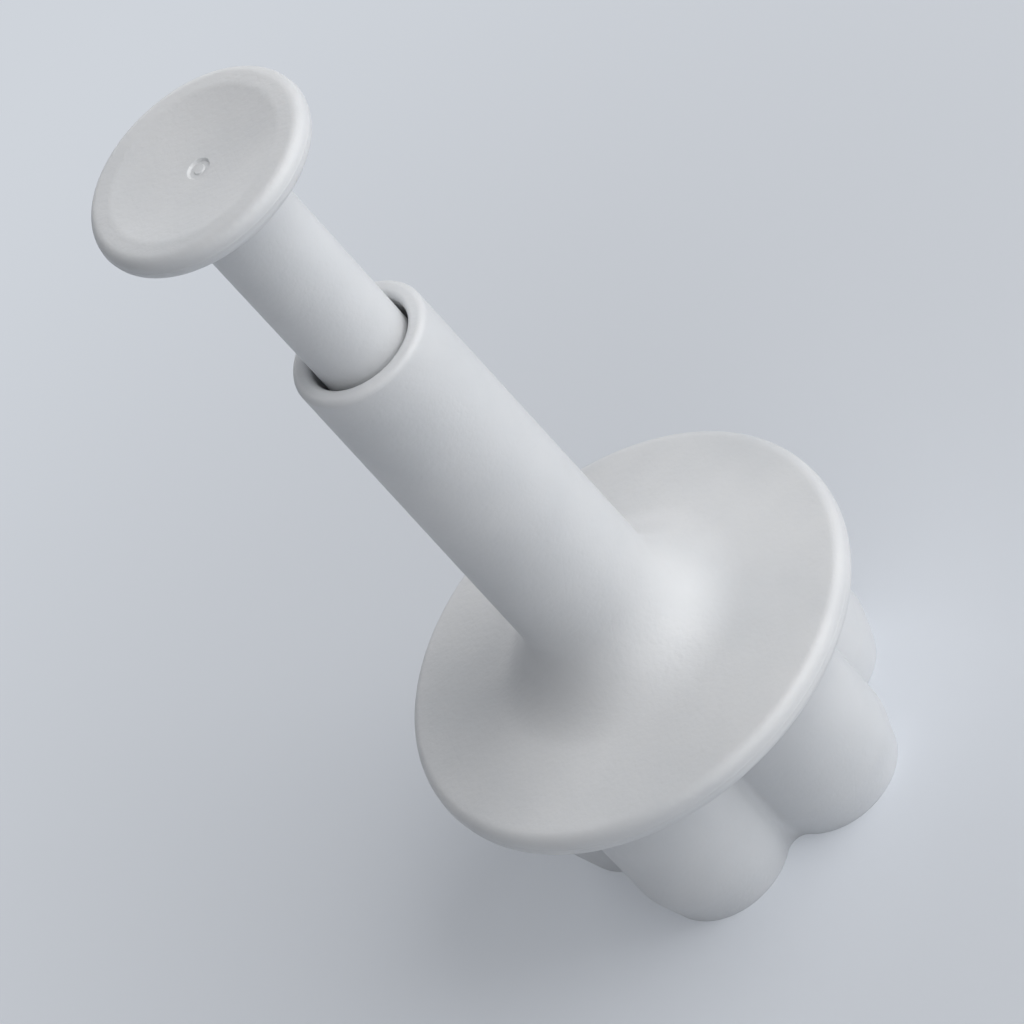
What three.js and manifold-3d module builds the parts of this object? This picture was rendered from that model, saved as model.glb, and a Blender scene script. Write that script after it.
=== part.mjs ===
// A plunger flower cutter for rolled sugar paste. A moulded barrel spreads into a finger flange and carries
// a flower-shaped cutting wall. A thumb plunger slides in the barrel and pushes the petal embosser out of
// the wall, and a coil spring lifts both again.
// Millimetres, +Z up along the plunger. The cutter stands on its cutting edge at z = 0, a petal along -Y.

import * as THREE from "three";
import { mergeVertices } from "three/addons/utils/BufferGeometryUtils.js";
import Module from "manifold-3d";

// Flower: the inside of the cutting wall, which is the outline that it cuts
const PETAL_COUNT = 5;
const FLOWER_DIAMETER = 27; // circle through the petal tips
const PETAL_DEPTH = 4; // from the tip circle in to the bottom of a valley
const VALLEY_ROUND = 0.5; // radius outside the wall at the bottom of a valley

// Cutting wall
const HEAD_HEIGHT = 15.4; // cutting edge to the underside of the flange
const CUTTING_WALL = 1.2;
const EDGE_LAND = 0.35; // width of the flat cutting edge
const BEVEL_HEIGHT = 3.2; // outside bevel from the edge to the full wall
const ROOT_FILLET = 0.4;

// Flange and barrel
const FLANGE_OVERHANG = 3.3; // ledge for the fingers outside the petal tips
const FLANGE_THICKNESS = 2.3; // at the rim
const FLANGE_SLOPE = 5; // degrees, rising from the rim to the barrel
const RIM_ROUND = 0.9;
const WEB_THICKNESS = 2; // floor of the bore, under the spring
const TRUMPET_RADIUS = 5.5; // foot of the barrel
const BARREL_LENGTH = 38; // flange underside to the mouth
const BARREL_WALL = 1.4; // at the mouth
const BARREL_DRAFT = 0.2; // how much the barrel's radius grows from the mouth to its foot
const LIP_ROUND = 0.5;

// Thumb plunger
const SLEEVE_DIAMETER = 7.2;
const SLEEVE_ENGAGEMENT = 16; // length inside the barrel at rest
const PLUNGER_EXPOSED = 18.2; // barrel mouth to the underside of the button at rest
const BUTTON_DIAMETER = 17;
const BUTTON_THICKNESS = 2;
const BUTTON_ROUND = 0.85;
const BUTTON_FILLET = 3; // flare under the button, round the sleeve
const DISH_DIAMETER = 13.2; // hollow for the thumb
const DISH_DEPTH = 0.7;
const BUTTON_FLOOR = 1.6; // left between the dish and the core of the sleeve

// Petal embosser
const PLATE_THICKNESS = 3.2;
const PLATE_ROUND = 0.4;
const STEM_DIAMETER = 3.9;
const STEM_GRIP = 12; // length pressed into the sleeve
const CENTRE_DIAMETER = 5.4; // raised middle of the flower
const VEIN_LENGTH = 6.4;
const VEIN_WIDTH = 0.9;
const RELIEF_HEIGHT = 0.6;

// Return spring
const SPRING_WIRE = 0.5;
const SPRING_TURNS = 9;
const CLOSED_PITCH = 1; // pitch of the drawn-in turn at each end

// Clearances
const SLEEVE_CLEARANCE = 0.35; // sleeve in the bore, each side
const GUIDE_CLEARANCE = 0.2; // stem in the guide hole, each side
const PRESS_CLEARANCE = 0.1; // stem in the sleeve, each side
const EMBOSSER_CLEARANCE = 0.35; // plate in the cutting wall
const SEAT_CLEARANCE = 0.3; // between pieces that rest on each other
const EDGE_BREAK = 0.4; // small chamfers at holes and ends

// A round or fillet is never larger than this share of the wall or the hollow that it lies in
const ROUND_SHARE = 0.45;
const FILLET_SHARE = 0.8;

// Facets
const BARREL_SEGMENTS = 72;
const PLUNGER_SEGMENTS = 48;
const STEM_SEGMENTS = 32;
const PETAL_STEPS = 12;
const VALLEY_STEPS = 4;
const ROUND_STEPS = 4; // a quarter turn at a rim
const LIP_STEPS = 3; // a quarter turn at the mouth or the root of the wall
const TRUMPET_STEPS = 9;
const DISH_STEPS = 6; // middle to edge
const BEVEL_STEPS = 2; // round edge of the embosser's plate
const BEAD_SEGMENTS = 12;
const BEAD_RINGS = 8;
const SPRING_STEPS = 16; // per turn
const SPRING_SIDES = 6;
const MERGE_DISTANCE = 1e-4; // points nearer than this are one

// Levels and radii that follow from the sizes above
const flangeZ = HEAD_HEIGHT;
const seatZ = flangeZ + WEB_THICKNESS;
const mouthZ = flangeZ + BARREL_LENGTH;
const sleeveEndZ = mouthZ - SLEEVE_ENGAGEMENT;
const embosserBackZ = flangeZ - SEAT_CLEARANCE;
const sleeveLength = SLEEVE_ENGAGEMENT + PLUNGER_EXPOSED;
const tipRadius = FLOWER_DIAMETER / 2;
const flangeRadius = tipRadius + CUTTING_WALL + FLANGE_OVERHANG;
const stemRadius = STEM_DIAMETER / 2;
const guideRadius = stemRadius + GUIDE_CLEARANCE;
const boreRadius = SLEEVE_DIAMETER / 2 + SLEEVE_CLEARANCE;

// Petal and valley arcs of the flower, which meet on the line between their centres. The petal's radius is
// the one that touches both the tip circle and the valley's arc.
const petalAngle = (2 * Math.PI) / PETAL_COUNT;
const valleyRadius = CUTTING_WALL + VALLEY_ROUND;
const valleyCentre = tipRadius - PETAL_DEPTH + valleyRadius;
const valleyX = valleyCentre * Math.cos(petalAngle / 2);
const valleyY = valleyCentre * Math.sin(petalAngle / 2);
const tipReach = tipRadius - valleyX;
const petalRadius = (tipReach ** 2 + valleyY ** 2 - valleyRadius ** 2) / (2 * (tipReach + valleyRadius));
const petalCentre = tipRadius - petalRadius;
const petalSweep = Math.atan2(valleyY, valleyX - petalCentre);
const petalDirections = Array.from({ length: PETAL_COUNT }, (_, i) => i * petalAngle - Math.PI / 2);

const wasm = await Module();
wasm.setup();

// Points of an arc from one angle to another, in radians
function arc(x, y, radius, from, to, steps) {
  return Array.from({ length: steps + 1 }, (_, i) => {
    const angle = from + ((to - from) * i) / steps;
    return new THREE.Vector2(x + radius * Math.cos(angle), y + radius * Math.sin(angle));
  });
}

// Flower outline, moved outwards by the offset
function flower(offset) {
  return petalDirections.flatMap((direction) => {
    const petal = arc(
      petalCentre * Math.cos(direction),
      petalCentre * Math.sin(direction),
      petalRadius + offset,
      direction - petalSweep,
      direction + petalSweep,
      PETAL_STEPS,
    );
    const middle = direction + petalAngle / 2;
    const halfTurn = petalSweep - petalAngle / 2;
    const valley = arc(
      valleyCentre * Math.cos(middle),
      valleyCentre * Math.sin(middle),
      valleyRadius - offset,
      middle + Math.PI + halfTurn,
      middle + Math.PI - halfTurn,
      VALLEY_STEPS,
    );
    return [...petal, ...valley.slice(1, -1)];
  });
}

// Closed profile of (radius, height) points, turned about the Z axis
function turned(profile, segments) {
  return new THREE.LatheGeometry([...profile, profile[0]], segments).rotateX(Math.PI / 2);
}

// Closed surface through flower outlines, each given as [offset, height], the last one joined to the first
function loftedFlower(sections) {
  const rings = sections.map(([offset, height]) => flower(offset).map((p) => [p.x, p.y, height]));
  const count = rings[0].length;
  const index = [];
  rings.forEach((_, ring) => {
    const next = (ring + 1) % rings.length;
    for (let i = 0; i < count; i++) {
      const j = (i + 1) % count;
      const [a, b, c, d] = [ring * count + i, ring * count + j, next * count + j, next * count + i];
      index.push(a, b, c, a, c, d);
    }
  });
  const geometry = new THREE.BufferGeometry();
  geometry.setAttribute("position", new THREE.Float32BufferAttribute(rings.flat(2), 3));
  return geometry.setIndex(index);
}

// Low rounded bead, half of it standing out of the plane z = 0
function bead(length, width, height) {
  const sphere = new THREE.SphereGeometry(1, BEAD_SEGMENTS, BEAD_RINGS);
  return sphere.rotateX(Math.PI / 2).scale(length / 2, width / 2, height);
}

// Closed geometries joined into one
function joined(geometries) {
  const solids = geometries.map((geometry) => {
    const surface = geometry.clone();
    surface.deleteAttribute("normal");
    surface.deleteAttribute("uv");
    const merged = mergeVertices(surface, MERGE_DISTANCE);
    return new wasm.Manifold(
      new wasm.Mesh({
        numProp: 3,
        vertProperties: new Float32Array(merged.attributes.position.array),
        triVerts: new Uint32Array(merged.index.array),
      }),
    );
  });
  const mesh = solids.reduce((whole, solid) => whole.add(solid)).getMesh();
  const geometry = new THREE.BufferGeometry();
  geometry.setAttribute("position", new THREE.Float32BufferAttribute(mesh.vertProperties, mesh.numProp));
  geometry.setIndex(new THREE.Uint32BufferAttribute(mesh.triVerts, 1));
  geometry.computeVertexNormals();
  return geometry;
}

// Barrel, trumpet foot, flange and web, from the guide hole out along the underside and back down the bore
function barrelGeometry() {
  const quarter = Math.PI / 2;
  const slope = THREE.MathUtils.degToRad(FLANGE_SLOPE);
  const rimRound = Math.min(RIM_ROUND, ROUND_SHARE * FLANGE_THICKNESS);
  const lipRound = Math.min(LIP_ROUND, ROUND_SHARE * BARREL_WALL);
  const mouthRadius = boreRadius + BARREL_WALL;
  const footRadius = mouthRadius + BARREL_DRAFT;
  const rimX = flangeRadius - rimRound;
  const rimTopZ = flangeZ + FLANGE_THICKNESS - rimRound;
  const trumpetX = footRadius + TRUMPET_RADIUS;
  // The trumpet's arc runs into the sloping top of the flange without a corner
  const slopeStartX = rimX + rimRound * Math.sin(slope);
  const slopeStartZ = rimTopZ + rimRound * Math.cos(slope);
  const slopeEndX = trumpetX - TRUMPET_RADIUS * Math.sin(slope);
  const slopeEndZ = slopeStartZ + (slopeStartX - slopeEndX) * Math.tan(slope);
  const trumpetZ = slopeEndZ + TRUMPET_RADIUS * Math.cos(slope);
  return turned(
    [
      new THREE.Vector2(guideRadius + EDGE_BREAK, flangeZ),
      ...arc(rimX, flangeZ + rimRound, rimRound, -quarter, 0, ROUND_STEPS),
      ...arc(rimX, rimTopZ, rimRound, 0, quarter - slope, ROUND_STEPS),
      ...arc(trumpetX, trumpetZ, TRUMPET_RADIUS, 3 * quarter - slope, 2 * quarter, TRUMPET_STEPS),
      ...arc(mouthRadius - lipRound, mouthZ - lipRound, lipRound, 0, quarter, LIP_STEPS),
      ...arc(boreRadius + lipRound, mouthZ - lipRound, lipRound, quarter, 2 * quarter, LIP_STEPS),
      new THREE.Vector2(boreRadius, seatZ),
      new THREE.Vector2(guideRadius + EDGE_BREAK, seatZ),
      new THREE.Vector2(guideRadius, seatZ - EDGE_BREAK),
      new THREE.Vector2(guideRadius, flangeZ + EDGE_BREAK),
    ],
    BARREL_SEGMENTS,
  );
}

// Cutting wall: a thin flat edge, an outside bevel, and a root with a fillet that runs into the flange
function cuttingWallGeometry() {
  const fillet = Math.min(ROOT_FILLET, FILLET_SHARE * VALLEY_ROUND);
  const rootZ = flangeZ + Math.min(WEB_THICKNESS, FLANGE_THICKNESS) / 2;
  const filletX = CUTTING_WALL + fillet;
  const filletSections = arc(filletX, flangeZ - fillet, fillet, Math.PI, Math.PI / 2, LIP_STEPS);
  return loftedFlower([
    [0, rootZ],
    [0, 0],
    [EDGE_LAND, 0],
    [CUTTING_WALL, BEVEL_HEIGHT],
    ...filletSections.map((point) => [point.x, point.y]),
    [filletX, rootZ],
  ]);
}

// Button and sleeve, from the end of the sleeve at z = 0, with the core that takes the stem
function plungerGeometry() {
  const quarter = Math.PI / 2;
  const sleeveRadius = SLEEVE_DIAMETER / 2;
  const coreRadius = stemRadius + PRESS_CLEARANCE;
  const filletX = sleeveRadius + BUTTON_FILLET;
  const filletZ = sleeveLength - BUTTON_FILLET;
  const buttonRound = Math.min(BUTTON_ROUND, ROUND_SHARE * BUTTON_THICKNESS);
  const buttonX = BUTTON_DIAMETER / 2 - buttonRound;
  const topZ = sleeveLength + BUTTON_THICKNESS;
  const dishRadius = DISH_DIAMETER / 2;
  const dishSphere = (dishRadius ** 2 + DISH_DEPTH ** 2) / (2 * DISH_DEPTH);
  const dishSweep = Math.asin(dishRadius / dishSphere);
  const dishCentreZ = topZ - DISH_DEPTH + dishSphere;
  return turned(
    [
      new THREE.Vector2(coreRadius + EDGE_BREAK, 0),
      new THREE.Vector2(sleeveRadius - EDGE_BREAK, 0),
      new THREE.Vector2(sleeveRadius, EDGE_BREAK),
      ...arc(filletX, filletZ, BUTTON_FILLET, 2 * quarter, quarter, ROUND_STEPS),
      ...arc(buttonX, sleeveLength + buttonRound, buttonRound, -quarter, 0, ROUND_STEPS),
      ...arc(buttonX, topZ - buttonRound, buttonRound, 0, quarter, ROUND_STEPS),
      ...arc(0, dishCentreZ, dishSphere, dishSweep - quarter, -quarter, DISH_STEPS),
      new THREE.Vector2(0, topZ - DISH_DEPTH - BUTTON_FLOOR),
      new THREE.Vector2(coreRadius, topZ - DISH_DEPTH - BUTTON_FLOOR),
      new THREE.Vector2(coreRadius, EDGE_BREAK),
    ],
    PLUNGER_SEGMENTS,
  );
}

// Plate, stem and the relief that marks the paste, with the back of the plate at z = 0
function embosserGeometry() {
  const plateRound = Math.min(PLATE_ROUND, ROUND_SHARE * PLATE_THICKNESS);
  const stemTop = sleeveEndZ + STEM_GRIP - embosserBackZ;
  const plate = new THREE.ExtrudeGeometry(new THREE.Shape(flower(-EMBOSSER_CLEARANCE - plateRound)), {
    depth: PLATE_THICKNESS - 2 * plateRound,
    bevelThickness: plateRound,
    bevelSize: plateRound,
    bevelSegments: BEVEL_STEPS,
  }).translate(0, 0, plateRound - PLATE_THICKNESS);
  const stem = turned(
    [
      new THREE.Vector2(0, -PLATE_THICKNESS / 2),
      new THREE.Vector2(stemRadius, -PLATE_THICKNESS / 2),
      new THREE.Vector2(stemRadius, stemTop - EDGE_BREAK),
      new THREE.Vector2(stemRadius - EDGE_BREAK, stemTop),
      new THREE.Vector2(0, stemTop),
    ],
    STEM_SEGMENTS,
  );
  const middle = bead(CENTRE_DIAMETER, CENTRE_DIAMETER, RELIEF_HEIGHT).translate(0, 0, -PLATE_THICKNESS);
  const veins = petalDirections.map((direction) =>
    bead(VEIN_LENGTH, VEIN_WIDTH, RELIEF_HEIGHT)
      .translate(petalCentre, 0, -PLATE_THICKNESS)
      .rotateZ(direction),
  );
  return joined([plate, stem, middle, ...veins]);
}

// Centre line of the spring's wire from z = 0, with a drawn-in turn at each end
class SpringCurve extends THREE.Curve {
  constructor(radius, rise) {
    super();
    this.radius = radius;
    this.openPitch = (rise - 2 * CLOSED_PITCH) / (SPRING_TURNS - 2);
    this.rise = rise;
  }

  getPoint(t, target = new THREE.Vector3()) {
    const turn = t * SPRING_TURNS;
    const angle = 2 * Math.PI * turn;
    const height =
      turn < 1
        ? turn * CLOSED_PITCH
        : turn > SPRING_TURNS - 1
          ? this.rise - (SPRING_TURNS - turn) * CLOSED_PITCH
          : CLOSED_PITCH + (turn - 1) * this.openPitch;
    return target.set(this.radius * Math.cos(angle), this.radius * Math.sin(angle), height);
  }
}

// Spring between its seat and the sleeve, midway between the stem and the bore, its lowest point at z = 0
function springGeometry() {
  const wireRadius = SPRING_WIRE / 2;
  const length = sleeveEndZ - seatZ - 2 * SEAT_CLEARANCE;
  const curve = new SpringCurve((stemRadius + boreRadius) / 2, length - SPRING_WIRE);
  printLeastGap(curve);
  const section = new THREE.Shape(arc(0, 0, wireRadius, 0, 2 * Math.PI, SPRING_SIDES).slice(0, -1));
  return new THREE.ExtrudeGeometry(section, {
    steps: SPRING_STEPS * SPRING_TURNS,
    extrudePath: curve,
  }).translate(0, 0, wireRadius);
}

// Least gap between neighbouring turns of the wire, measured on points of its centre line
function printLeastGap(curve) {
  const points = curve.getPoints(SPRING_STEPS * SPRING_TURNS);
  let least = Infinity;
  points.forEach((point, i) => {
    for (const other of points.slice(i + SPRING_STEPS / 2)) {
      least = Math.min(least, point.distanceTo(other));
    }
  });
  console.log(`return_spring: least gap between turns ${(least - SPRING_WIRE).toFixed(2)} mm`);
}

function whitePlastic() {
  return new THREE.MeshStandardMaterial({ color: 0xeceded, roughness: 0.36, metalness: 0 });
}

function springSteel() {
  return new THREE.MeshStandardMaterial({ color: 0xb4b7bb, roughness: 0.28, metalness: 1 });
}

function piece(name, geometry, material, z) {
  const mesh = new THREE.Mesh(geometry, material);
  mesh.name = name;
  mesh.position.z = z;
  return mesh;
}

const held = new THREE.Group();
held.add(
  piece("cutter_body", joined([barrelGeometry(), cuttingWallGeometry()]), whitePlastic(), 0),
  piece("return_spring", springGeometry(), springSteel(), seatZ + SEAT_CLEARANCE),
);

const pressed = new THREE.Group();
pressed.add(
  piece("thumb_plunger", plungerGeometry(), whitePlastic(), sleeveEndZ),
  piece("petal_embosser", embosserGeometry(), whitePlastic(), embosserBackZ),
);

const flowerCutter = new THREE.Group();
flowerCutter.add(held, pressed);

export default flowerCutter;
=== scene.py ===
"""A plunger flower cutter in white moulded plastic, with its studio stage.

The cutter stands on its cutting edge at z = 0 with the plunger along +Z and one petal along -Y.
Lengths are in metres, in the same frame as the solid model that is loaded first.
"""

import math

import bpy
import numpy as np
from bpy.props import FloatProperty, FloatVectorProperty, IntProperty, PointerProperty
from mathutils import Matrix, Vector


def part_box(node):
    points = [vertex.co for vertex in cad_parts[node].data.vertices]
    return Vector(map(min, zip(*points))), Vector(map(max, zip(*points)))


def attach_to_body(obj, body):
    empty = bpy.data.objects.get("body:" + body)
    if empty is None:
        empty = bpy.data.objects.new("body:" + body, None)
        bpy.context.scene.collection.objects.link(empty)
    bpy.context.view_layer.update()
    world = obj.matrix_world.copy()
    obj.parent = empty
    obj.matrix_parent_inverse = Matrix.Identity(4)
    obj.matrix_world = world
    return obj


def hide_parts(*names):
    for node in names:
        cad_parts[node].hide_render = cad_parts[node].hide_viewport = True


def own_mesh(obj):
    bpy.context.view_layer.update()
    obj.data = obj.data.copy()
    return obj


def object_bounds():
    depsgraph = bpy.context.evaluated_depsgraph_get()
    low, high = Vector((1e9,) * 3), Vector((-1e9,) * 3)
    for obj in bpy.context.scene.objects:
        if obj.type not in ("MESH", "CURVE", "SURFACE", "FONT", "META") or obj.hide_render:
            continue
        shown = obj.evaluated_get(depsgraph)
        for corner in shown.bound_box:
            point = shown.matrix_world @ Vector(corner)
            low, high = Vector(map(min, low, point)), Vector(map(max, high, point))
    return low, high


bl_info = {
    "name": "Flower Cutter",
    "version": (1, 0, 0),
    "blender": (4, 5, 0),
    "location": "View3D > Sidebar > Flower Cutter",
    "description": "Builds a sprung plunger flower cutter and its studio stage",
    "category": "Add Mesh",
}

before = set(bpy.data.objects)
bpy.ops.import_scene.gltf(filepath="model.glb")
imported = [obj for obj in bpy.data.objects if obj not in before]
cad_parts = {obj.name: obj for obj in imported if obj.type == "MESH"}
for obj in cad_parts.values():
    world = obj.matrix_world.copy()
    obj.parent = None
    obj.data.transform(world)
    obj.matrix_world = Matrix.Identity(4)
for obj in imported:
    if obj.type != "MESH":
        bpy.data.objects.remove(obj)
CAD_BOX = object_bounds()
BODY_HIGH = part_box("cutter_body")[1]
PLUNGER_LOW, PLUNGER_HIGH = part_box("thumb_plunger")
EMBOSSER_LOW, EMBOSSER_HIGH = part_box("petal_embosser")
SPRING_LOW, SPRING_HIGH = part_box("return_spring")

MM = 0.001
SHARP_ANGLE = math.radians(36)  # edges that turn more than this stay crisp
SUPPORT = 0.25 * MM  # a ring this close to a bend keeps the flat beside it flat
# Softboxes: where they stand from the cutter, how far away, and the length of a side
KEY_BOX = {"direction": (0.9, 0.44, 0.7), "distance": 0.7, "size": 0.8}
FILL_BOX = {"direction": (0.83, -0.56, 0.78), "distance": 0.8, "size": 1.0}
BACK_BOX = {"direction": (-0.66, 0.75, 0.3), "distance": 0.8, "size": 0.5}
# Fineness of the meshes, as steps of an arc or a flat and sides of a round
ROUND_STEPS = 8
EDGE_STEPS = 4
TRUMPET_STEPS = 28
FLARE_STEPS = 14
DISH_STEPS = 24
WEB_STEPS = 9
LEDGE_STEPS = 43
FACE_STEPS = 70
BACK_STEPS = 12
COIL_STEPS = 48  # along one turn of the spring
WIRE_SIDES = 16
FLOOR_SIDES = 96
FLOOR_INNER = 0.125  # inner ring of the floor, as a share of its radius
# Share of a mark over which it fades into the flat round it
PIN_SOFT_EDGE = 0.2
RELIEF_SOFT_EDGE = 0.8
LEVEL_TOLERANCE = 0.001 * MM
# Surface of the plastic: heights in millimetres, and what a scuff adds to the roughness
WAVE_HEIGHT = 0.06
GRAIN_HEIGHT = 0.026
SCUFF_HEIGHT = -0.002
SCUFF_DULLING = 0.12
# Scuffs lie in two directions, given as turns in radians, and are narrow along x
SCUFF_TURNS = ((0.3, 0.5, 0.5), (1.1, 2.1, 2.1))
SCUFF_SIZE = (0.2 * MM, 7 * MM, 7 * MM)
MATH = "ShaderNodeMath"
VALUE = "NodeSocketFloat"


def linear(code):
    """Scene-linear colour of an sRGB hex code."""
    channels = [int(code[i : i + 2], 16) / 255 for i in (0, 2, 4)]
    return tuple(c / 12.92 if c <= 0.04045 else ((c + 0.055) / 1.055) ** 2.4 for c in channels)


def length(name, description, value):
    """A length that the user may change, with its default in metres."""
    return FloatProperty(
        name=name, description=description, default=value, min=0, precision=5, unit="LENGTH"
    )


def angle(name, description, degrees):
    """An angle that the user may change, with its default in degrees."""
    return FloatProperty(
        name=name, description=description, default=math.radians(degrees), subtype="ANGLE"
    )


def power(name, description, watts):
    """A lamp's power that the user may change, with its default in watts."""
    return FloatProperty(name=name, description=description, default=watts, min=0, unit="POWER")


def colour(name, description, code):
    """A colour that the user may change, with its default as an sRGB hex code."""
    return FloatVectorProperty(
        name=name, description=description, default=linear(code), min=0, max=1, subtype="COLOR"
    )


class BodySizes(bpy.types.PropertyGroup):
    """Sizes of the barrel, the finger flange and the flower-shaped cutting wall."""

    petal_count: IntProperty(name="Petals", description="Petals of the flower", default=5, min=3)
    flower_diameter: length("Flower diameter", "Circle through the petal tips, inside the wall", 27 * MM)
    petal_depth: length("Petal depth", "From the tip circle in to the bottom of a valley", 4 * MM)
    valley_round: length("Valley round", "Radius outside the wall at the bottom of a valley", 0.5 * MM)
    cutting_wall: length("Cutting wall", "Thickness of the cutting wall", 1.2 * MM)
    edge_land: length("Edge land", "Width of the flat cutting edge", 0.35 * MM)
    edge_round: length("Edge round", "Radius on both sides of the cutting edge", 0.06 * MM)
    bevel_height: length("Bevel height", "Outside bevel from the edge to the full wall", 3.2 * MM)
    root_fillet: length("Root fillet", "Fillet where the wall meets the flange", 0.4 * MM)
    head_height: length("Head height", "Cutting edge to the underside of the flange", 15.4 * MM)
    flange_thickness: length("Flange thickness", "Thickness of the flange at its rim", 2.3 * MM)
    flange_slope: angle("Flange slope", "Slope of the flange's top towards the barrel", 5)
    rim_round: length("Rim round", "Radius of the rim's edges", 0.9 * MM)
    trumpet_radius: length("Trumpet radius", "Foot of the barrel", 5.5 * MM)
    bore_diameter: length("Bore diameter", "Bore of the barrel", 7.9 * MM)
    barrel_wall: length("Barrel wall", "Wall of the barrel at its mouth", 1.4 * MM)
    barrel_draft: length("Barrel draft", "Growth of the radius from mouth to foot", 0.2 * MM)
    lip_round: length("Lip round", "Radius of the mouth's lip", 0.5 * MM)
    web_thickness: length("Web thickness", "Floor of the bore", 2 * MM)
    guide_diameter: length("Guide hole", "Hole in the web for the stem", 4.3 * MM)
    edge_break: length("Edge break", "Chamfers at the guide hole", 0.4 * MM)


class PlungerSizes(bpy.types.PropertyGroup):
    """Sizes of the thumb button and its sleeve."""

    sleeve_diameter: length("Sleeve diameter", "Sleeve that slides in the barrel", 7.2 * MM)
    core_diameter: length("Core diameter", "Core of the sleeve, which takes the stem", 4.1 * MM)
    button_thickness: length("Button thickness", "Thickness of the button at its rim", 2 * MM)
    button_round: length("Button round", "Radius of the button's edges", 0.85 * MM)
    button_fillet: length("Button fillet", "Flare between the sleeve and the button", 3 * MM)
    dish_diameter: length("Dish diameter", "Hollow for the thumb", 13.2 * MM)
    dish_depth: length("Dish depth", "Depth of the hollow", 0.7 * MM)
    button_floor: length("Button floor", "Left between the dish and the core", 1.6 * MM)
    edge_break: length("Edge break", "Chamfers at the end of the sleeve", 0.4 * MM)


class EmbosserSizes(bpy.types.PropertyGroup):
    """Sizes of the flower plate, its relief and its stem."""

    side_clearance: length("Side clearance", "Gap between the plate and the cutting wall", 0.35 * MM)
    seat_clearance: length("Seat clearance", "Gap between the plate and the web at rest", 0.3 * MM)
    plate_thickness: length("Plate thickness", "Thickness without the relief", 3.2 * MM)
    plate_round: length("Plate round", "Radius of the plate's edges", 0.4 * MM)
    stem_diameter: length("Stem diameter", "Stem that is pressed into the sleeve", 3.9 * MM)
    stem_break: length("Stem chamfer", "Chamfer at the end of the stem", 0.4 * MM)
    centre_diameter: length("Middle diameter", "Raised middle of the flower", 5.4 * MM)
    vein_length: length("Vein length", "Length of the vein on each petal", 6.4 * MM)
    vein_width: length("Vein width", "Width of a vein", 0.9 * MM)


class SpringSizes(bpy.types.PropertyGroup):
    """Sizes of the return spring."""

    wire_diameter: length("Wire diameter", "Diameter of the wire", 0.5 * MM)
    closed_pitch: length("Closed pitch", "Pitch of the turn at each end", 1 * MM)
    turns: IntProperty(name="Turns", description="Turns of the coil", default=9, min=3)


class MouldMarks(bpy.types.PropertyGroup):
    """Small marks that the mould leaves on the plastic pieces."""

    parting_width: length(
        "Parting line width", "Line round a rim where the mould's halves meet", 0.16 * MM
    )
    parting_height: length("Parting line height", "How far that line stands out", 0.035 * MM)
    gate_diameter: length("Gate diameter", "Recess in the dish where the plastic entered", 1.8 * MM)
    gate_depth: length("Gate depth", "Depth of that recess", 0.16 * MM)
    pin_diameter: length("Ejector pin", "Diameter of the marks under the flange", 2.6 * MM)
    pin_circle: length("Ejector circle", "Radius of the circle that those marks lie on", 14.6 * MM)
    pin_depth: length("Ejector depth", "Depth of those marks", 0.09 * MM)


class FinishColours(bpy.types.PropertyGroup):
    """Colours of the plastic and the wire."""

    plastic: colour("Plastic", "White of the moulded plastic", "DFE0E1")
    plastic_deep: colour("Plastic, deeper", "The same white where it is a little thicker", "D4D6D8")
    wire: colour("Wire", "Bright drawn steel wire", "C3C5C8")
    wire_dull: colour("Wire, dull", "The wire where its film of oil has dulled it", "9C9EA2")


class StageSettings(bpy.types.PropertyGroup):
    """Camera, lamps and floor."""

    azimuth: angle("Azimuth", "Camera's turn about the cutter", 41)
    elevation: angle("Elevation", "Camera's height over the floor", 39.9)
    roll: angle("Roll", "How far the cutter leans left in the picture", 42.5)
    distance: length("Distance", "Camera to the middle of the cutter", 419 * MM)
    field: length("Field", "Width of the picture at the cutter", 72 * MM)
    floor_radius: length("Floor radius", "Radius of the round floor", 3000 * MM)
    fade_start: length("Fade start", "Where the floor starts to fade into the backdrop", 30 * MM)
    fade_end: length("Fade end", "Where the floor has faded into the backdrop", 130 * MM)
    shadow_lift: FloatProperty(
        name="Shadow lift",
        description="Share of the backdrop in the floor's shadows",
        default=0.25,
        min=0,
        max=1,
        subtype="FACTOR",
    )
    floor: colour("Floor", "Pale worktop", "DDE1E7")
    backdrop: colour("Backdrop", "Pale ground far from the cutter", "CFD4DB")
    sky: colour("Sky", "Even light from all round", "6C6D70")
    key_power: power("Key light", "Softbox at the right", 4)
    fill_power: power("Fill light", "Softbox in front", 2.5)
    back_power: power("Back light", "Softbox behind the cutter", 1)


def node(tree, kind, inputs=None, **settings):
    """Adds a node with its settings.

    An input takes a value, a socket, or a node for its first output.
    """
    made = tree.nodes.new(kind)
    for name, value in settings.items():
        setattr(made, name, value)
    for key, value in (inputs or {}).items():
        if isinstance(value, bpy.types.Node):
            value = value.outputs[0]
        if isinstance(value, bpy.types.NodeSocket):
            tree.links.new(value, made.inputs[key])
        else:
            made.inputs[key].default_value = value
    return made


# Outlines and rings


def arc(x, y, radius, start, end, steps=ROUND_STEPS):
    """Points of an arc between two angles in degrees, both ends included."""
    angles = np.radians(np.linspace(start, end, steps + 1))
    return [(x + radius * math.cos(a), y + radius * math.sin(a)) for a in angles]


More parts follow.
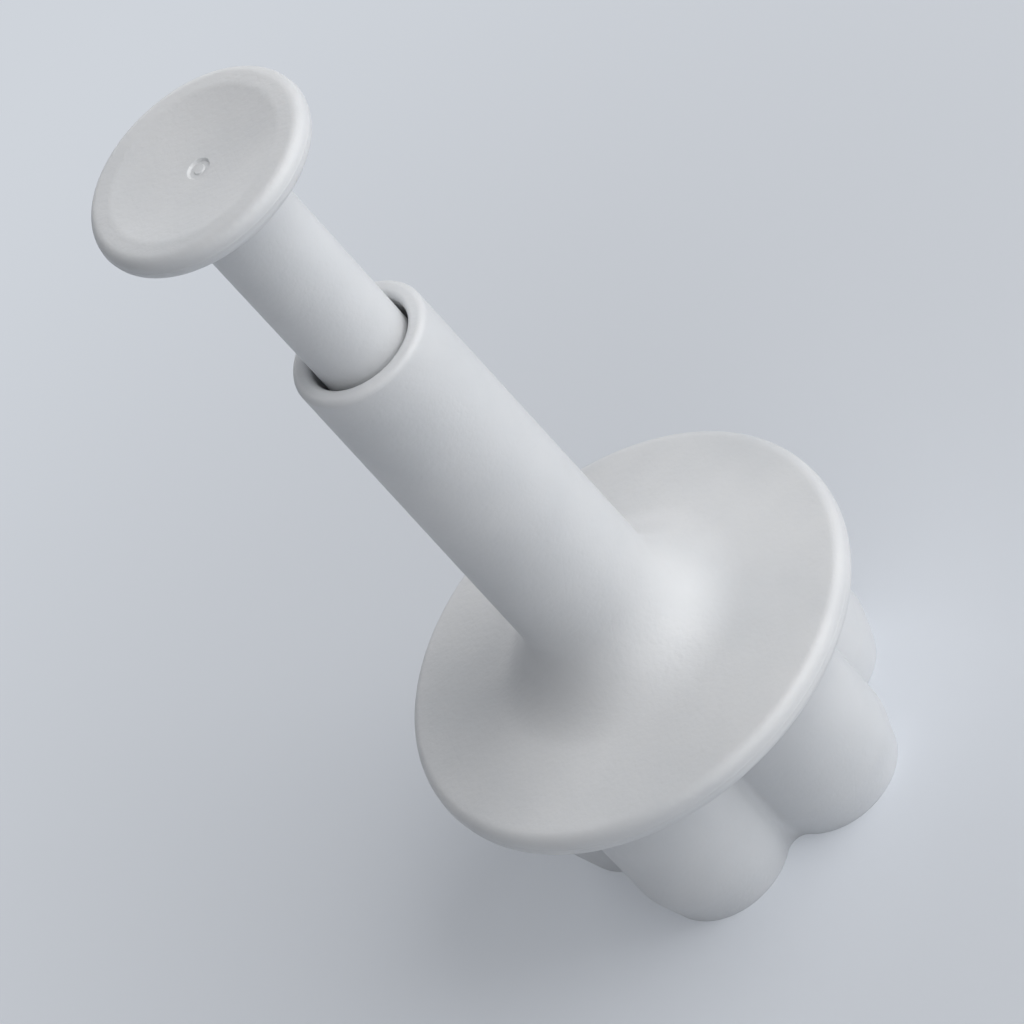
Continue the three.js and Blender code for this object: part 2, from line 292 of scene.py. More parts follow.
class FlowerOutline:
    """Petal and valley arcs that meet without a corner, as points that can be moved out or in."""

    PETAL_STEPS = 64
    VALLEY_STEPS = 32

    def __init__(self, sizes):
        tip = sizes.flower_diameter / 2
        self.count = sizes.petal_count
        self.step = math.tau / self.count
        self.valley_radius = sizes.cutting_wall + sizes.valley_round
        self.valley_centre = tip - sizes.petal_depth + self.valley_radius
        valley_x = self.valley_centre * math.cos(self.step / 2)
        valley_y = self.valley_centre * math.sin(self.step / 2)
        reach = tip - valley_x
        # The petal's radius is the one that touches both the tip circle and the valley's arc
        spread = reach**2 + valley_y**2 - self.valley_radius**2
        self.petal_radius = spread / (2 * (reach + self.valley_radius))
        self.petal_centre = tip - self.petal_radius
        self.sweep = math.degrees(math.atan2(valley_y, valley_x - self.petal_centre))
        inside = self.points(0)
        self.bearings = np.arctan2(inside[:, 1], inside[:, 0])

    def points(self, offset):
        """The outline moved outwards by the offset."""
        found = []
        for petal in range(self.count):
            direction = petal * self.step - math.pi / 2
            bearing = math.degrees(direction)
            found += arc(
                self.petal_centre * math.cos(direction),
                self.petal_centre * math.sin(direction),
                self.petal_radius + offset,
                bearing - self.sweep,
                bearing + self.sweep,
                self.PETAL_STEPS,
            )[:-1]
            middle = direction + self.step / 2
            turn = self.sweep - math.degrees(self.step / 2)
            bearing = math.degrees(middle) + 180
            found += arc(
                self.valley_centre * math.cos(middle),
                self.valley_centre * math.sin(middle),
                self.valley_radius - offset,
                bearing + turn,
                bearing - turn,
                self.VALLEY_STEPS,
            )[:-1]
        return np.array(found)

    def circle(self, radius):
        """A circle whose points lie in the same directions as the flower's."""
        return radius * np.column_stack((np.cos(self.bearings), np.sin(self.bearings)))


def level(points, height):
    """A ring of (x, y) points at a height."""
    return np.column_stack((points, np.full(len(points), height)))


def pole(height):
    """A ring of one point on the axis."""
    return np.array([[0.0, 0.0, height]])


def between(low, high, steps, height):
    """Flat rings from one outline to another, without those two."""
    shares = np.linspace(0, 1, steps + 1)[1:-1]
    return [level(low + (high - low) * share, height) for share in shares]


def band(low, low_count, high, high_count):
    """Faces between two rings of equally many points, or between a ring and a pole."""
    count = max(low_count, high_count)
    follow = [(i, (i + 1) % count) for i in range(count)]
    if low_count == 1:
        return [(low, high + j, high + i) for i, j in follow]
    if high_count == 1:
        return [(low + i, low + j, high) for i, j in follow]
    return [(low + i, low + j, high + j, high + i) for i, j in follow]


def ring_mesh(name, rings, closed=False):
    """Smooth skin through rings of points, the last joined to the first where it is closed.

    The faces point outwards where the rings go out along the underside, up the outside and in
    along the top.
    """
    starts = np.cumsum([0] + [len(ring) for ring in rings])
    following = [*range(1, len(rings)), *([0] if closed else [])]
    faces = []
    for low, high in enumerate(following):
        faces += band(int(starts[low]), len(rings[low]), int(starts[high]), len(rings[high]))
    mesh = bpy.data.meshes.new(name)
    mesh.from_pydata(np.concatenate(rings).tolist(), [], faces)
    mesh.shade_smooth()
    mesh.set_sharp_from_angle(angle=SHARP_ANGLE)
    return mesh


def new_object(name, mesh):
    """An object at the origin that shows the mesh."""
    made = bpy.data.objects.new(name, mesh)
    bpy.context.scene.collection.objects.link(made)
    return made


def add_nodes_modifier(piece, tree, values):
    """A Geometry Nodes modifier whose inputs are set by the identifiers of their sockets."""
    modifier = piece.modifiers.new(tree.name, "NODES")
    modifier.node_group = tree
    for socket in tree.interface.items_tree:
        if socket.name in values:
            modifier[socket.identifier] = values[socket.name]


def settle(piece):
    """Turns what the modifiers make into the piece's plain mesh."""
    bpy.context.view_layer.update()
    drawn = piece.data
    finished = piece.evaluated_get(bpy.context.evaluated_depsgraph_get())
    piece.data = bpy.data.meshes.new_from_object(finished)
    piece.modifiers.clear()
    bpy.data.meshes.remove(drawn)
    piece.data.name = piece.name


def attach(piece, body, cad_node):
    """The piece stands for a solid of the frame and moves with that solid's body."""
    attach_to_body(piece, body)
    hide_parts(cad_node)


# Geometry Nodes


def new_geometry_tree(name, inputs):
    """An empty Geometry Nodes tree with a geometry in and out, a material and named numbers."""
    tree = bpy.data.node_groups.new(name, "GeometryNodeTree")
    tree.is_modifier = True
    tree.interface.new_socket("Geometry", in_out="INPUT", socket_type="NodeSocketGeometry")
    for label in inputs:
        tree.interface.new_socket(label, in_out="INPUT", socket_type=VALUE)
    tree.interface.new_socket("Material", in_out="INPUT", socket_type="NodeSocketMaterial")
    tree.interface.new_socket("Geometry", in_out="OUTPUT", socket_type="NodeSocketGeometry")
    return tree


def finish_tree(tree, geometry, material):
    """Ends a tree with plain geometry in one material."""
    real = node(tree, "GeometryNodeRealizeInstances", {"Geometry": geometry})
    dressed = node(tree, "GeometryNodeSetMaterial", {"Geometry": real, "Material": material})
    node(tree, "NodeGroupOutput", {"Geometry": dressed})


def polar_relief_tree():
    """Raises or sinks oval marks that repeat round the axis, on the flat at one level."""
    tree = new_geometry_tree(
        "polar_relief",
        ("Count", "Turn", "Centre Radius", "Half Length", "Half Width", "Soft Edge", "Height", "Level"),
    )
    given = node(tree, "NodeGroupInput").outputs
    axes = node(tree, "ShaderNodeSeparateXYZ", {0: node(tree, "GeometryNodeInputPosition")}).outputs
    flat = node(tree, "ShaderNodeCombineXYZ", {0: axes[0], 1: axes[1]})
    radius = node(tree, "ShaderNodeVectorMath", {0: flat}, operation="LENGTH").outputs["Value"]
    # Angle from the nearest mark, then the place along and across that mark
    bearing = node(tree, MATH, {0: axes[1], 1: axes[0]}, operation="ARCTAN2")
    from_first = node(tree, MATH, {0: bearing, 1: given["Turn"]}, operation="SUBTRACT")
    half_sector = node(tree, MATH, {0: math.pi, 1: given["Count"]}, operation="DIVIDE")
    low = node(tree, MATH, {0: half_sector, 1: -1.0}, operation="MULTIPLY")
    from_nearest = node(tree, MATH, {0: from_first, 1: half_sector, 2: low}, operation="WRAP")
    cosine = node(tree, MATH, {0: from_nearest}, operation="COSINE")
    sine = node(tree, MATH, {0: from_nearest}, operation="SINE")
    outward = node(tree, MATH, {0: radius, 1: cosine}, operation="MULTIPLY")
    along = node(tree, MATH, {0: outward, 1: given["Centre Radius"]}, operation="SUBTRACT")
    across = node(tree, MATH, {0: radius, 1: sine}, operation="MULTIPLY")
    along_share = node(tree, MATH, {0: along, 1: given["Half Length"]}, operation="DIVIDE")
    across_share = node(tree, MATH, {0: across, 1: given["Half Width"]}, operation="DIVIDE")
    oval = node(tree, "ShaderNodeCombineXYZ", {0: along_share, 1: across_share})
    reach = node(tree, "ShaderNodeVectorMath", {0: oval}, operation="LENGTH").outputs["Value"]
    plateau = node(tree, MATH, {0: 1.0, 1: given["Soft Edge"]}, operation="SUBTRACT")
    share = node(
        tree,
        "ShaderNodeMapRange",
        {"Value": reach, "From Min": 1.0, "From Max": plateau},
        interpolation_type="SMOOTHSTEP",
    )
    lift = node(tree, MATH, {0: share, 1: given["Height"]}, operation="MULTIPLY")
    on_level = node(
        tree,
        "FunctionNodeCompare",
        {"A": axes[2], "B": given["Level"], "Epsilon": LEVEL_TOLERANCE},
        data_type="FLOAT",
        operation="EQUAL",
    )
    offset = node(tree, "ShaderNodeCombineXYZ", {2: lift})
    marked = node(
        tree,
        "GeometryNodeSetPosition",
        {"Geometry": given["Geometry"], "Selection": on_level, "Offset": offset},
    )
    finish_tree(tree, marked, given["Material"])
    return tree


def coil_spring_tree():
    """Winds round wire into a coil whose turn at each end is drawn in."""
    tree = new_geometry_tree(
        "coil_spring", ("Turns", "Mean Radius", "Wire Radius", "Closed Pitch", "Open Pitch", "Foot")
    )
    given = node(tree, "NodeGroupInput").outputs
    circles = node(
        tree,
        "GeometryNodeCurveSpiral",
        {
            "Resolution": COIL_STEPS,
            "Rotations": given["Turns"],
            "Start Radius": given["Mean Radius"],
            "End Radius": given["Mean Radius"],
            "Height": 0.0,
        },
    )
    factor = node(tree, "GeometryNodeSplineParameter").outputs["Factor"]
    turn = node(tree, MATH, {0: factor, 1: given["Turns"]}, operation="MULTIPLY")
    last_starts = node(tree, MATH, {0: given["Turns"], 1: 1.0}, operation="SUBTRACT")
    first = node(tree, MATH, {0: turn, 1: 1.0}, operation="MINIMUM")
    past = node(tree, MATH, {0: turn, 1: last_starts}, operation="SUBTRACT")
    last = node(tree, MATH, {0: past, 1: 0.0}, operation="MAXIMUM")
    closed = node(tree, MATH, {0: first, 1: last}, operation="ADD")
    opened = node(tree, MATH, {0: turn, 1: closed}, operation="SUBTRACT")
    closed_rise = node(tree, MATH, {0: closed, 1: given["Closed Pitch"]}, operation="MULTIPLY")
    rise = node(tree, MATH, {0: opened, 1: given["Open Pitch"], 2: closed_rise}, operation="MULTIPLY_ADD")
    height = node(tree, MATH, {0: rise, 1: given["Foot"]}, operation="ADD")
    offset = node(tree, "ShaderNodeCombineXYZ", {2: height})
    coil = node(tree, "GeometryNodeSetPosition", {"Geometry": circles, "Offset": offset})
    section = node(
        tree,
        "GeometryNodeCurvePrimitiveCircle",
        {"Resolution": WIRE_SIDES, "Radius": given["Wire Radius"]},
    )
    wire = node(
        tree,
        "GeometryNodeCurveToMesh",
        {"Curve": coil, "Profile Curve": section, "Fill Caps": True},
    )
    finish_tree(tree, wire, given["Material"])
    return tree


# Materials


def per_metre(size):
    """Texture scale that makes a pattern's features about this size, in millimetres."""
    return 1 / (size * MM)


def new_material(name):
    """An empty material and its node tree."""
    material = bpy.data.materials.new(name)
    material.use_nodes = True
    material.node_tree.nodes.clear()
    return material, material.node_tree


def moulded_white_abs(colours):
    """White ABS from a finely eroded mould.

    The eye sees an even white with a satin gloss, a little depth because light travels under the
    skin, a fine grain and a slight waviness in the highlights, and hairline scuffs from handling
    that dull the gloss.
    """
    material, tree = new_material("moulded_white_abs")
    place = node(tree, "ShaderNodeTexCoord").outputs["Object"]
    cloud = node(tree, "ShaderNodeTexNoise", {"Vector": place, "Scale": per_metre(14), "Detail": 3.0})
    wave = node(tree, "ShaderNodeTexNoise", {"Vector": place, "Scale": per_metre(5), "Detail": 1.0})
    # The grain is about 0.1 mm on the real plastic, drawn coarser so that it shows
    grain = node(tree, "ShaderNodeTexNoise", {"Vector": place, "Scale": per_metre(0.45), "Detail": 2.0})
    # Hairline scuffs, drawn wider than real ones so that they show
    streaks = []
    for turn in SCUFF_TURNS:
        sheet = node(
            tree,
            "ShaderNodeMapping",
            {"Vector": place, "Rotation": turn, "Scale": SCUFF_SIZE},
            vector_type="TEXTURE",
        )
        streak = node(tree, "ShaderNodeTexNoise", {"Vector": sheet, "Scale": 1.0, "Detail": 2.0})
        lines = node(
            tree, "ShaderNodeMapRange", {"Value": streak, "From Min": 0.62, "From Max": 0.76}
        )
        streaks.append(lines)
    scuff = node(tree, MATH, {0: streaks[0], 1: streaks[1]}, operation="MAXIMUM")
    thick = node(tree, "ShaderNodeMapRange", {"Value": cloud, "From Min": 0.35, "From Max": 0.65})
    white = node(
        tree,
        "ShaderNodeMix",
        {"Factor": thick, "A": (*colours.plastic, 1), "B": (*colours.plastic_deep, 1)},
        data_type="RGBA",
    ).outputs["Result"]
    satin = node(
        tree,
        "ShaderNodeMapRange",
        {"Value": cloud, "From Min": 0.3, "From Max": 0.7, "To Min": 0.38, "To Max": 0.46},
    )
    roughness = node(tree, MATH, {0: scuff, 1: SCUFF_DULLING, 2: satin}, operation="MULTIPLY_ADD")
    waved = node(tree, MATH, {0: wave, 1: WAVE_HEIGHT}, operation="MULTIPLY")
    grained = node(tree, MATH, {0: grain, 1: GRAIN_HEIGHT, 2: waved}, operation="MULTIPLY_ADD")
    relief = node(tree, MATH, {0: scuff, 1: SCUFF_HEIGHT, 2: grained}, operation="MULTIPLY_ADD")
    bump = node(tree, "ShaderNodeBump", {"Height": relief, "Strength": 1.0, "Distance": MM})
    shader = node(
        tree,
        "ShaderNodeBsdfPrincipled",
        {
            "Base Color": white,
            "Roughness": roughness,
            "Normal": bump,
            "IOR": 1.53,
            "Subsurface Weight": 0.2,
            "Subsurface Radius": (1.0, 0.94, 0.88),
            "Subsurface Scale": 1.2 * MM,
        },
    )
    node(tree, "ShaderNodeOutputMaterial", {"Surface": shader})
    return material


def drawn_spring_steel(colours):
    """Drawn stainless spring wire: bright metal, dulled in patches by a thin film of oil."""
    material, tree = new_material("drawn_spring_steel")
    place = node(tree, "ShaderNodeTexCoord").outputs["Object"]
    film = node(tree, "ShaderNodeTexNoise", {"Vector": place, "Scale": per_metre(1.6), "Detail": 3.0})
    dull = node(tree, "ShaderNodeMapRange", {"Value": film, "From Min": 0.35, "From Max": 0.7})
    steel = node(
        tree,
        "ShaderNodeMix",
        {"Factor": dull, "A": (*colours.wire, 1), "B": (*colours.wire_dull, 1)},
        data_type="RGBA",
    ).outputs["Result"]
    roughness = node(tree, "ShaderNodeMapRange", {"Value": dull, "To Min": 0.22, "To Max": 0.4})
    shader = node(
        tree, "ShaderNodeBsdfPrincipled", {"Base Color": steel, "Roughness": roughness, "Metallic": 1.0}
    )
    node(tree, "ShaderNodeOutputMaterial", {"Surface": shader})
    return material


def background_rays(tree):
    """1 for the rays that should see the pale ground: from the camera, a gloss or through glass."""
    rays = node(tree, "ShaderNodeLightPath").outputs
    seen = node(tree, MATH, {0: rays["Is Camera Ray"], 1: rays["Is Glossy Ray"]}, operation="MAXIMUM")
    return node(tree, MATH, {0: seen, 1: rays["Is Transmission Ray"]}, operation="MAXIMUM")


def pale_worktop_laminate(stage):
    """Pale matt laminate, which keeps the cutter's shadow and fades into the backdrop far away."""
    material, tree = new_material("pale_worktop_laminate")
    place = node(tree, "ShaderNodeTexCoord").outputs["Object"]
    grain = node(tree, "ShaderNodeTexNoise", {"Vector": place, "Scale": per_metre(1.2), "Detail": 4.0})
    roughness = node(tree, "ShaderNodeMapRange", {"Value": grain, "To Min": 0.5, "To Max": 0.66})
    laminate = node(
        tree,
        "ShaderNodeBsdfPrincipled",
        {"Base Color": (*stage.floor, 1), "Roughness": roughness, "Specular IOR Level": 0.25},
    )
    ground = node(tree, "ShaderNodeEmission", {"Color": (*stage.backdrop, 1), "Strength": 1.0})
    away = node(tree, "ShaderNodeVectorMath", {0: place}, operation="LENGTH").outputs["Value"]
    far = node(
        tree,
        "ShaderNodeMapRange",
        {
            "Value": away,
            "From Min": stage.fade_start,
            "From Max": stage.fade_end,
            "To Min": stage.shadow_lift,
        },
        interpolation_type="SMOOTHSTEP",
    )
    share = node(tree, MATH, {0: far, 1: background_rays(tree)}, operation="MULTIPLY")
    surface = node(tree, "ShaderNodeMixShader", {0: share, 1: laminate, 2: ground})
    node(tree, "ShaderNodeOutputMaterial", {"Surface": surface})
    return material


def studio_world(stage):
    """Even pale light from all round, which the camera sees as the backdrop's colour."""
    world = bpy.data.worlds.new("studio_air")
    world.use_nodes = True
    tree = world.node_tree
    tree.nodes.clear()
    light = node(tree, "ShaderNodeBackground", {"Color": (*stage.sky, 1), "Strength": 1.0})
    ground = node(tree, "ShaderNodeBackground", {"Color": (*stage.backdrop, 1), "Strength": 1.0})
    mixed = node(tree, "ShaderNodeMixShader", {0: background_rays(tree), 1: light, 2: ground})
    node(tree, "ShaderNodeOutputWorld", {"Surface": mixed})
    return world


def shared_finish(make, colours):
    """The material named as the function that makes it, made the first time it is asked for."""
    return bpy.data.materials.get(make.__name__) or make(colours)


# Shapes of the pieces


def rim_profile(radius, low, high, rounding, marks, top_angle=90):
    """Rounded rim with the mould's parting line, as (radius, height) points going up."""
    side = radius - marks.parting_height
    middle = (low + high) / 2
    parting_line = [
        (side, middle - marks.parting_width),
        (side, middle - marks.parting_width / 2),
        (radius, middle),
        (side, middle + marks.parting_width / 2),
        (side, middle + marks.parting_width),
    ]
    below = arc(side - rounding, low + rounding, rounding, -90, 0)
    above = arc(side - rounding, high - rounding, rounding, 0, top_angle)
    return [*below, *parting_line, *above]


def barrel_profile(sizes, marks):
    """Flange, barrel and bore as (radius, height) points, from under the rim to the guide hole."""
    slope = sizes.flange_slope
    tilt = math.degrees(slope)
    low = sizes.head_height
    mouth = BODY_HIGH.z
    bore = sizes.bore_diameter / 2
    mouth_radius = bore + sizes.barrel_wall
    foot_radius = mouth_radius + sizes.barrel_draft
    guide = sizes.guide_diameter / 2
    seat = low + sizes.web_thickness
    lip = sizes.lip_round
    top = low + sizes.flange_thickness
    rim = rim_profile(BODY_HIGH.x, low, top, sizes.rim_round, marks, 90 - tilt)
    slope_start_x, slope_start_z = rim[-1]
    # The trumpet's arc runs into the sloping top of the flange without a corner
    trumpet_x = foot_radius + sizes.trumpet_radius
    slope_end_x = trumpet_x - sizes.trumpet_radius * math.sin(slope)
    slope_end_z = slope_start_z + (slope_start_x - slope_end_x) * math.tan(slope)
    trumpet_z = slope_end_z + sizes.trumpet_radius * math.cos(slope)
    return [
        *rim,
        (slope_start_x - SUPPORT, slope_start_z + SUPPORT * math.tan(slope)),
        *arc(trumpet_x, trumpet_z, sizes.trumpet_radius, 270 - tilt, 180, TRUMPET_STEPS),
        (foot_radius, trumpet_z + SUPPORT),
        (mouth_radius, mouth - lip - SUPPORT),
        *arc(mouth_radius - lip, mouth - lip, lip, 0, 90),
        *arc(bore + lip, mouth - lip, lip, 90, 180),
        (bore, mouth - lip - SUPPORT),
        (bore, seat + SUPPORT),
        (bore, seat),
        (guide + sizes.edge_break, seat),
        (guide, seat - sizes.edge_break),
        (guide, low + sizes.edge_break),
    ]


def cutting_wall_sections(sizes):
    """Cutting wall as (offset, height) points, from its root inside to its root outside."""
    top = sizes.head_height
    fillet = sizes.root_fillet
    edge = sizes.edge_round
    wall = sizes.cutting_wall
    land = sizes.edge_land
    rise = sizes.bevel_height
    slant = (wall - land) / rise
    lean = math.atan(slant)
    # The round outside the edge touches both the land and the bevel
    centre = land - edge * (1 - math.sin(lean)) / math.cos(lean)
    return [
        *arc(-fillet, top - fillet, fillet, 90, 0),
        (0, top - fillet - SUPPORT),
        (0, edge + SUPPORT),
        *arc(edge, edge, edge, 180, 270, EDGE_STEPS),
        *arc(centre, edge, edge, 270, 360 - math.degrees(lean), EDGE_STEPS),
        (land + slant * SUPPORT, SUPPORT),
        (wall - slant * SUPPORT, rise - SUPPORT),
        (wall, rise + SUPPORT),
        (wall, top - fillet - SUPPORT),
        *arc(wall + fillet, top - fillet, fillet, 180, 90),
    ]


def body_rings(sizes, marks, outline):
    """Rings of the cutter body: web, cutting wall, underside of the flange, rim, barrel and bore."""
    low = sizes.head_height
    hole = outline.circle(sizes.guide_diameter / 2 + sizes.edge_break)
    sections = cutting_wall_sections(sizes)
    profile = barrel_profile(sizes, marks)
    wall = [level(outline.points(offset), height) for offset, height in sections]
    barrel = [level(outline.circle(radius), height) for radius, height in profile]
    web = between(hole, wall[0][:, :2], WEB_STEPS, low)
    ledge = between(wall[-1][:, :2], barrel[0][:, :2], LEDGE_STEPS, low)
    return [level(hole, low), *web, *wall, *ledge, *barrel]


def plunger_profile(sizes, marks):
    """Plunger as (radius, height) points, down the core, up the sleeve and into the dish."""
    low = PLUNGER_LOW.z
    top = PLUNGER_HIGH.z
    sleeve = sizes.sleeve_diameter / 2
    core = sizes.core_diameter / 2
    underside = top - sizes.button_thickness
    fillet = sizes.button_fillet
    dish = sizes.dish_diameter / 2
    sphere = (dish**2 + sizes.dish_depth**2) / (2 * sizes.dish_depth)
    bottom = top - sizes.dish_depth
    gate = marks.gate_diameter / 2
    rim = rim_profile(PLUNGER_HIGH.x, underside, top, sizes.button_round, marks)
    dish_start = math.degrees(math.asin(dish / sphere)) - 90
    gate_start = math.degrees(math.asin(gate / sphere)) - 90
    return [
        (core, bottom - sizes.button_floor),
        (core, low + sizes.edge_break),
        (core + sizes.edge_break, low),
        (sleeve - sizes.edge_break, low),
        (sleeve, low + sizes.edge_break),
        (sleeve, low + sizes.edge_break + SUPPORT),
        (sleeve, underside - fillet - SUPPORT),
        *arc(sleeve + fillet, underside - fillet, fillet, 180, 90, FLARE_STEPS),
        (sleeve + fillet + SUPPORT, underside),
        (rim[0][0] - SUPPORT, underside),
        *rim,
        (rim[-1][0] - SUPPORT, top),
        (dish + SUPPORT, top),
        *arc(0, bottom + sphere, sphere, dish_start, gate_start, DISH_STEPS),
        (gate - marks.gate_depth, bottom - marks.gate_depth),
        (gate / 2, bottom - marks.gate_depth),
        (gate / 2 - marks.gate_depth / 2, bottom - marks.gate_depth / 3),
    ]


def embosser_rings(sizes, back, outline):
    """Rings of the embosser: its face, the edge of the plate, its back and the stem."""
    face = back - sizes.plate_thickness
    top = EMBOSSER_HIGH.z
    rounding = sizes.plate_round
    inset = -sizes.side_clearance - rounding
    stem = sizes.stem_diameter / 2
    lower = arc(inset, face + rounding, rounding, -90, 0)
    upper = arc(inset, back - rounding, rounding, 0, 90)
    flat = outline.points(inset)
    foot = outline.circle(stem)
    return [
        pole(face),
        *between(0 * flat, flat, FACE_STEPS, face),
        *[level(outline.points(offset), height) for offset, height in (*lower, *upper)],
        *between(flat, foot, BACK_STEPS, back),
        level(foot, back),
        level(foot, top - sizes.stem_break),
        level(outline.circle(stem - sizes.stem_break), top),
        pole(top),
    ]


# Operators


class FLOWERCUTTER_OT_cutter_body(bpy.types.Operator):
    """Make the barrel, the finger flange and the cutting wall"""

    bl_idname = "flowercutter.cutter_body"
    bl_label = "Cutter Body"

    def execute(self, context):
        scene = context.scene
        sizes = scene.cutter_body_sizes
        marks = scene.cutter_mould_marks
        outline = FlowerOutline(sizes)
        name = "cutter_body_moulding"
        piece = new_object(name, ring_mesh(name, body_rings(sizes, marks, outline), closed=True))
        add_nodes_modifier(
            piece,
            polar_relief_tree(),
            {
                "Count": float(outline.count),
                "Turn": outline.step / 2 - math.pi / 2,
                "Centre Radius": marks.pin_circle,
                "Half Length": marks.pin_diameter / 2,
                "Half Width": marks.pin_diameter / 2,
                "Soft Edge": PIN_SOFT_EDGE,
                "Height": marks.pin_depth,
                "Level": sizes.head_height,
                "Material": shared_finish(moulded_white_abs, scene.cutter_colours),
            },
        )
        settle(piece)
        attach(piece, "cutter", "cutter_body")
        return {"FINISHED"}


class FLOWERCUTTER_OT_thumb_plunger(bpy.types.Operator):
    """Make the thumb button and its sleeve"""

    bl_idname = "flowercutter.thumb_plunger"
    bl_label = "Thumb Plunger"

    def execute(self, context):
        scene = context.scene
        outline = FlowerOutline(scene.cutter_body_sizes)
        profile = plunger_profile(scene.cutter_plunger_sizes, scene.cutter_mould_marks)
        rings = [level(outline.circle(radius), height) for radius, height in profile]
        name = "thumb_plunger_moulding"
        piece = new_object(name, ring_mesh(name, [pole(profile[0][1]), *rings, pole(profile[-1][1])]))
        piece.data.materials.append(shared_finish(moulded_white_abs, scene.cutter_colours))
        attach(piece, "plunger", "thumb_plunger")
        return {"FINISHED"}


class FLOWERCUTTER_OT_petal_embosser(bpy.types.Operator):
    """Make the flower plate with its relief, and its stem"""

    bl_idname = "flowercutter.petal_embosser"
    bl_label = "Petal Embosser"

    def execute(self, context):
        scene = context.scene
        sizes = scene.cutter_embosser_sizes
        outline = FlowerOutline(scene.cutter_body_sizes)
        back = scene.cutter_body_sizes.head_height - sizes.seat_clearance
        face = back - sizes.plate_thickness
        name = "petal_embosser_moulding"
        piece = new_object(name, ring_mesh(name, embosser_rings(sizes, back, outline)))
        relief = polar_relief_tree()
        shared = {
            "Turn": -math.pi / 2,
            "Soft Edge": RELIEF_SOFT_EDGE,
            "Height": EMBOSSER_LOW.z - face,
            "Level": face,
            "Material": shared_finish(moulded_white_abs, scene.cutter_colours),
        }
        veins = {
            "Count": float(outline.count),
            "Centre Radius": outline.petal_centre,
            "Half Length": sizes.vein_length / 2,
            "Half Width": sizes.vein_width / 2,
        }
        middle = {
            "Count": 1.0,
            "Centre Radius": 0.0,
            "Half Length": sizes.centre_diameter / 2,
            "Half Width": sizes.centre_diameter / 2,
        }
        add_nodes_modifier(piece, relief, {**shared, **veins})
        add_nodes_modifier(piece, relief, {**shared, **middle})
        settle(piece)
        attach(piece, "plunger", "petal_embosser")
        return {"FINISHED"}


class FLOWERCUTTER_OT_return_spring(bpy.types.Operator):
    """Wind the spring that lifts the plunger"""

    bl_idname = "flowercutter.return_spring"
    bl_label = "Return Spring"

    def execute(self, context):
        scene = context.scene
        sizes = scene.cutter_spring_sizes
        wire = sizes.wire_diameter / 2
        height = SPRING_HIGH.z - SPRING_LOW.z
        open_rise = height - sizes.wire_diameter - 2 * sizes.closed_pitch
        name = "return_spring_wire"
        piece = new_object(name, bpy.data.meshes.new(name))
        add_nodes_modifier(
            piece,
            coil_spring_tree(),
            {
                "Turns": float(sizes.turns),
                "Mean Radius": SPRING_HIGH.x - wire,
                "Wire Radius": wire,
                "Closed Pitch": sizes.closed_pitch,
                "Open Pitch": open_rise / (sizes.turns - 2),
                "Foot": SPRING_LOW.z + wire,
                "Material": shared_finish(drawn_spring_steel, scene.cutter_colours),
            },
        )
        settle(piece)
        piece.data.shade_smooth()
        piece.data.set_sharp_from_angle(angle=SHARP_ANGLE)
        attach(piece, "cutter", "return_spring")
        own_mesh(piece)
        return {"FINISHED"}


def softbox(name, target, power, direction, distance, size):
    """A square area lamp that faces the target."""
    lamp = bpy.data.lights.new(name, "AREA")
    lamp.shape = "SQUARE"
    lamp.size = size
    lamp.energy = power
    holder = new_object(name, lamp)
    holder.visible_camera = False
    away = Vector(direction).normalized()
    holder.location = target + away * distance
    holder.rotation_euler = away.to_track_quat("Z", "Y").to_euler()


def place_camera(stage):
    """Camera at the photograph's viewing angle, with the cutter in the middle of the picture."""
    turn, rise, roll = stage.azimuth, stage.elevation, stage.roll
    back = Vector((math.sin(turn) * math.cos(rise), -math.cos(turn) * math.cos(rise), math.sin(rise)))
    level_right = Vector((math.cos(turn), math.sin(turn), 0))
    level_up = back.cross(level_right)
    right = level_right * math.cos(roll) - level_up * math.sin(roll)
    up = level_up * math.cos(roll) + level_right * math.sin(roll)
    corners = [vertex.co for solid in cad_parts.values() for vertex in solid.data.vertices]
    middle = Vector()
    for axis in (right, up, back):
        reach = [corner.dot(axis) for corner in corners]
        middle += axis * (min(reach) + max(reach)) / 2
    data = bpy.data.cameras.new("photo_camera")
    data.lens = data.sensor_width * stage.distance / stage.field
    data.clip_start = 10 * MM
    data.clip_end = 4 * stage.floor_radius
    camera = new_object("photo_camera", data)
    turned = Matrix((right, up, back)).transposed().to_4x4()
    camera.matrix_world = Matrix.Translation(middle + back * stage.distance) @ turned
    bpy.context.scene.camera = camera


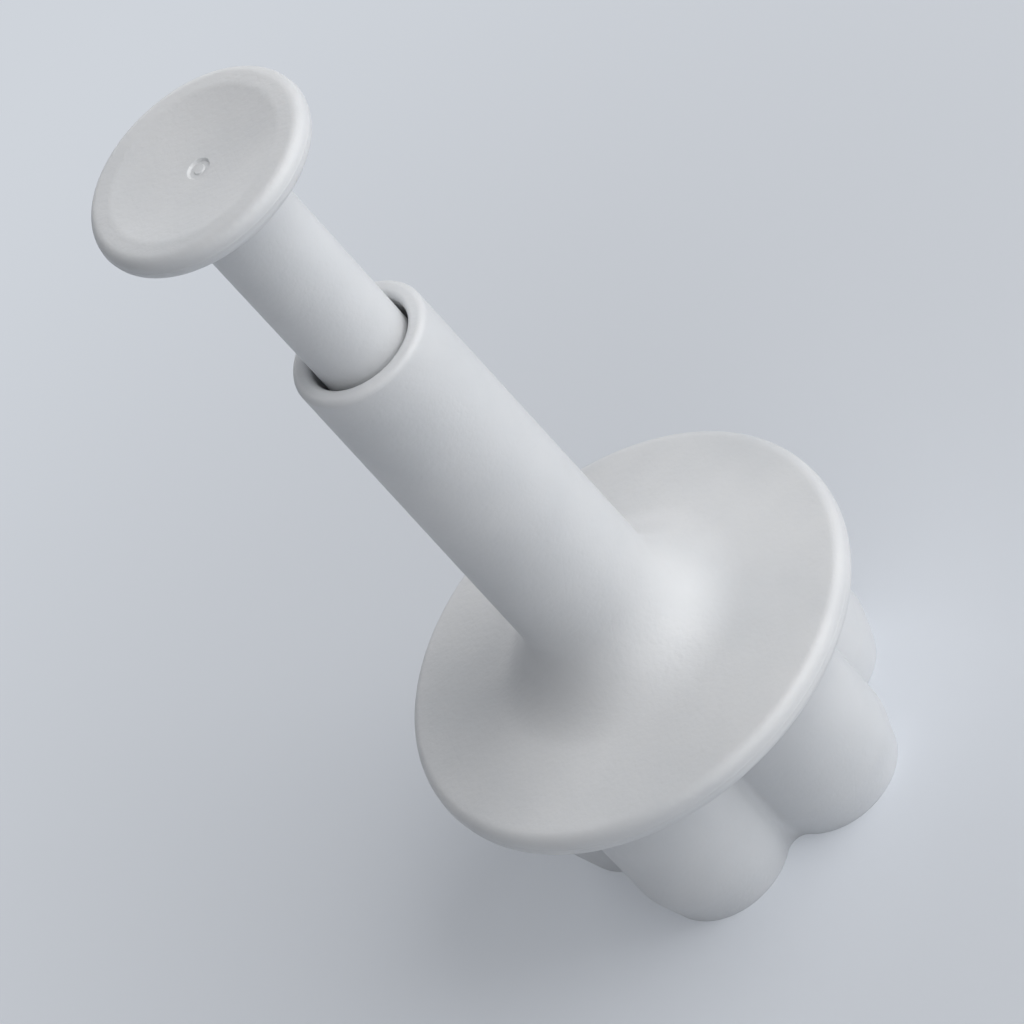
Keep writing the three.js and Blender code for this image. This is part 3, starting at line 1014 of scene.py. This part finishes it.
class FLOWERCUTTER_OT_stage(bpy.types.Operator):
    """Lay the floor, hang the lamps and place the camera"""

    bl_idname = "flowercutter.stage"
    bl_label = "Stage"

    def execute(self, context):
        scene = context.scene
        stage = scene.cutter_stage
        disc = np.array(arc(0, 0, stage.floor_radius, 0, 360, FLOOR_SIDES)[:-1])
        rings = [level(disc, 0), level(disc * FLOOR_INNER, 0), pole(0)]
        floor = new_object("floor", ring_mesh("floor", rings))
        floor.data.materials.append(pale_worktop_laminate(stage))
        target = (CAD_BOX[0] + CAD_BOX[1]) / 2
        softbox("key_softbox", target, stage.key_power, **KEY_BOX)
        softbox("fill_softbox", target, stage.fill_power, **FILL_BOX)
        softbox("back_softbox", target, stage.back_power, **BACK_BOX)
        scene.world = studio_world(stage)
        place_camera(stage)
        scene.view_settings.view_transform = "Standard"
        return {"FINISHED"}


SETTINGS = {
    "cutter_body_sizes": BodySizes,
    "cutter_plunger_sizes": PlungerSizes,
    "cutter_embosser_sizes": EmbosserSizes,
    "cutter_spring_sizes": SpringSizes,
    "cutter_mould_marks": MouldMarks,
    "cutter_colours": FinishColours,
    "cutter_stage": StageSettings,
}
OPERATORS = (
    FLOWERCUTTER_OT_cutter_body,
    FLOWERCUTTER_OT_thumb_plunger,
    FLOWERCUTTER_OT_petal_embosser,
    FLOWERCUTTER_OT_return_spring,
    FLOWERCUTTER_OT_stage,
)


class FLOWERCUTTER_PT_sidebar(bpy.types.Panel):
    """Lists the sizes, the finishes and the pieces of the cutter"""

    bl_idname = "FLOWERCUTTER_PT_sidebar"
    bl_label = "Flower Cutter"
    bl_space_type = "VIEW_3D"
    bl_region_type = "UI"
    bl_category = "Flower Cutter"

    def draw(self, context):
        for name, group in SETTINGS.items():
            box = self.layout.box()
            for setting in group.__annotations__:
                box.prop(getattr(context.scene, name), setting)
        for operator in OPERATORS:
            self.layout.operator(operator.bl_idname)


CLASSES = (*SETTINGS.values(), *OPERATORS, FLOWERCUTTER_PT_sidebar)


def register():
    for cls in CLASSES:
        bpy.utils.register_class(cls)
    for name, group in SETTINGS.items():
        setattr(bpy.types.Scene, name, PointerProperty(type=group))


def unregister():
    for name in SETTINGS:
        delattr(bpy.types.Scene, name)
    for cls in reversed(CLASSES):
        bpy.utils.unregister_class(cls)


def main():
    register()
    bpy.ops.flowercutter.cutter_body()
    bpy.ops.flowercutter.thumb_plunger()
    bpy.ops.flowercutter.petal_embosser()
    bpy.ops.flowercutter.return_spring()
    bpy.ops.flowercutter.stage()


if __name__ == "__main__":
    main()
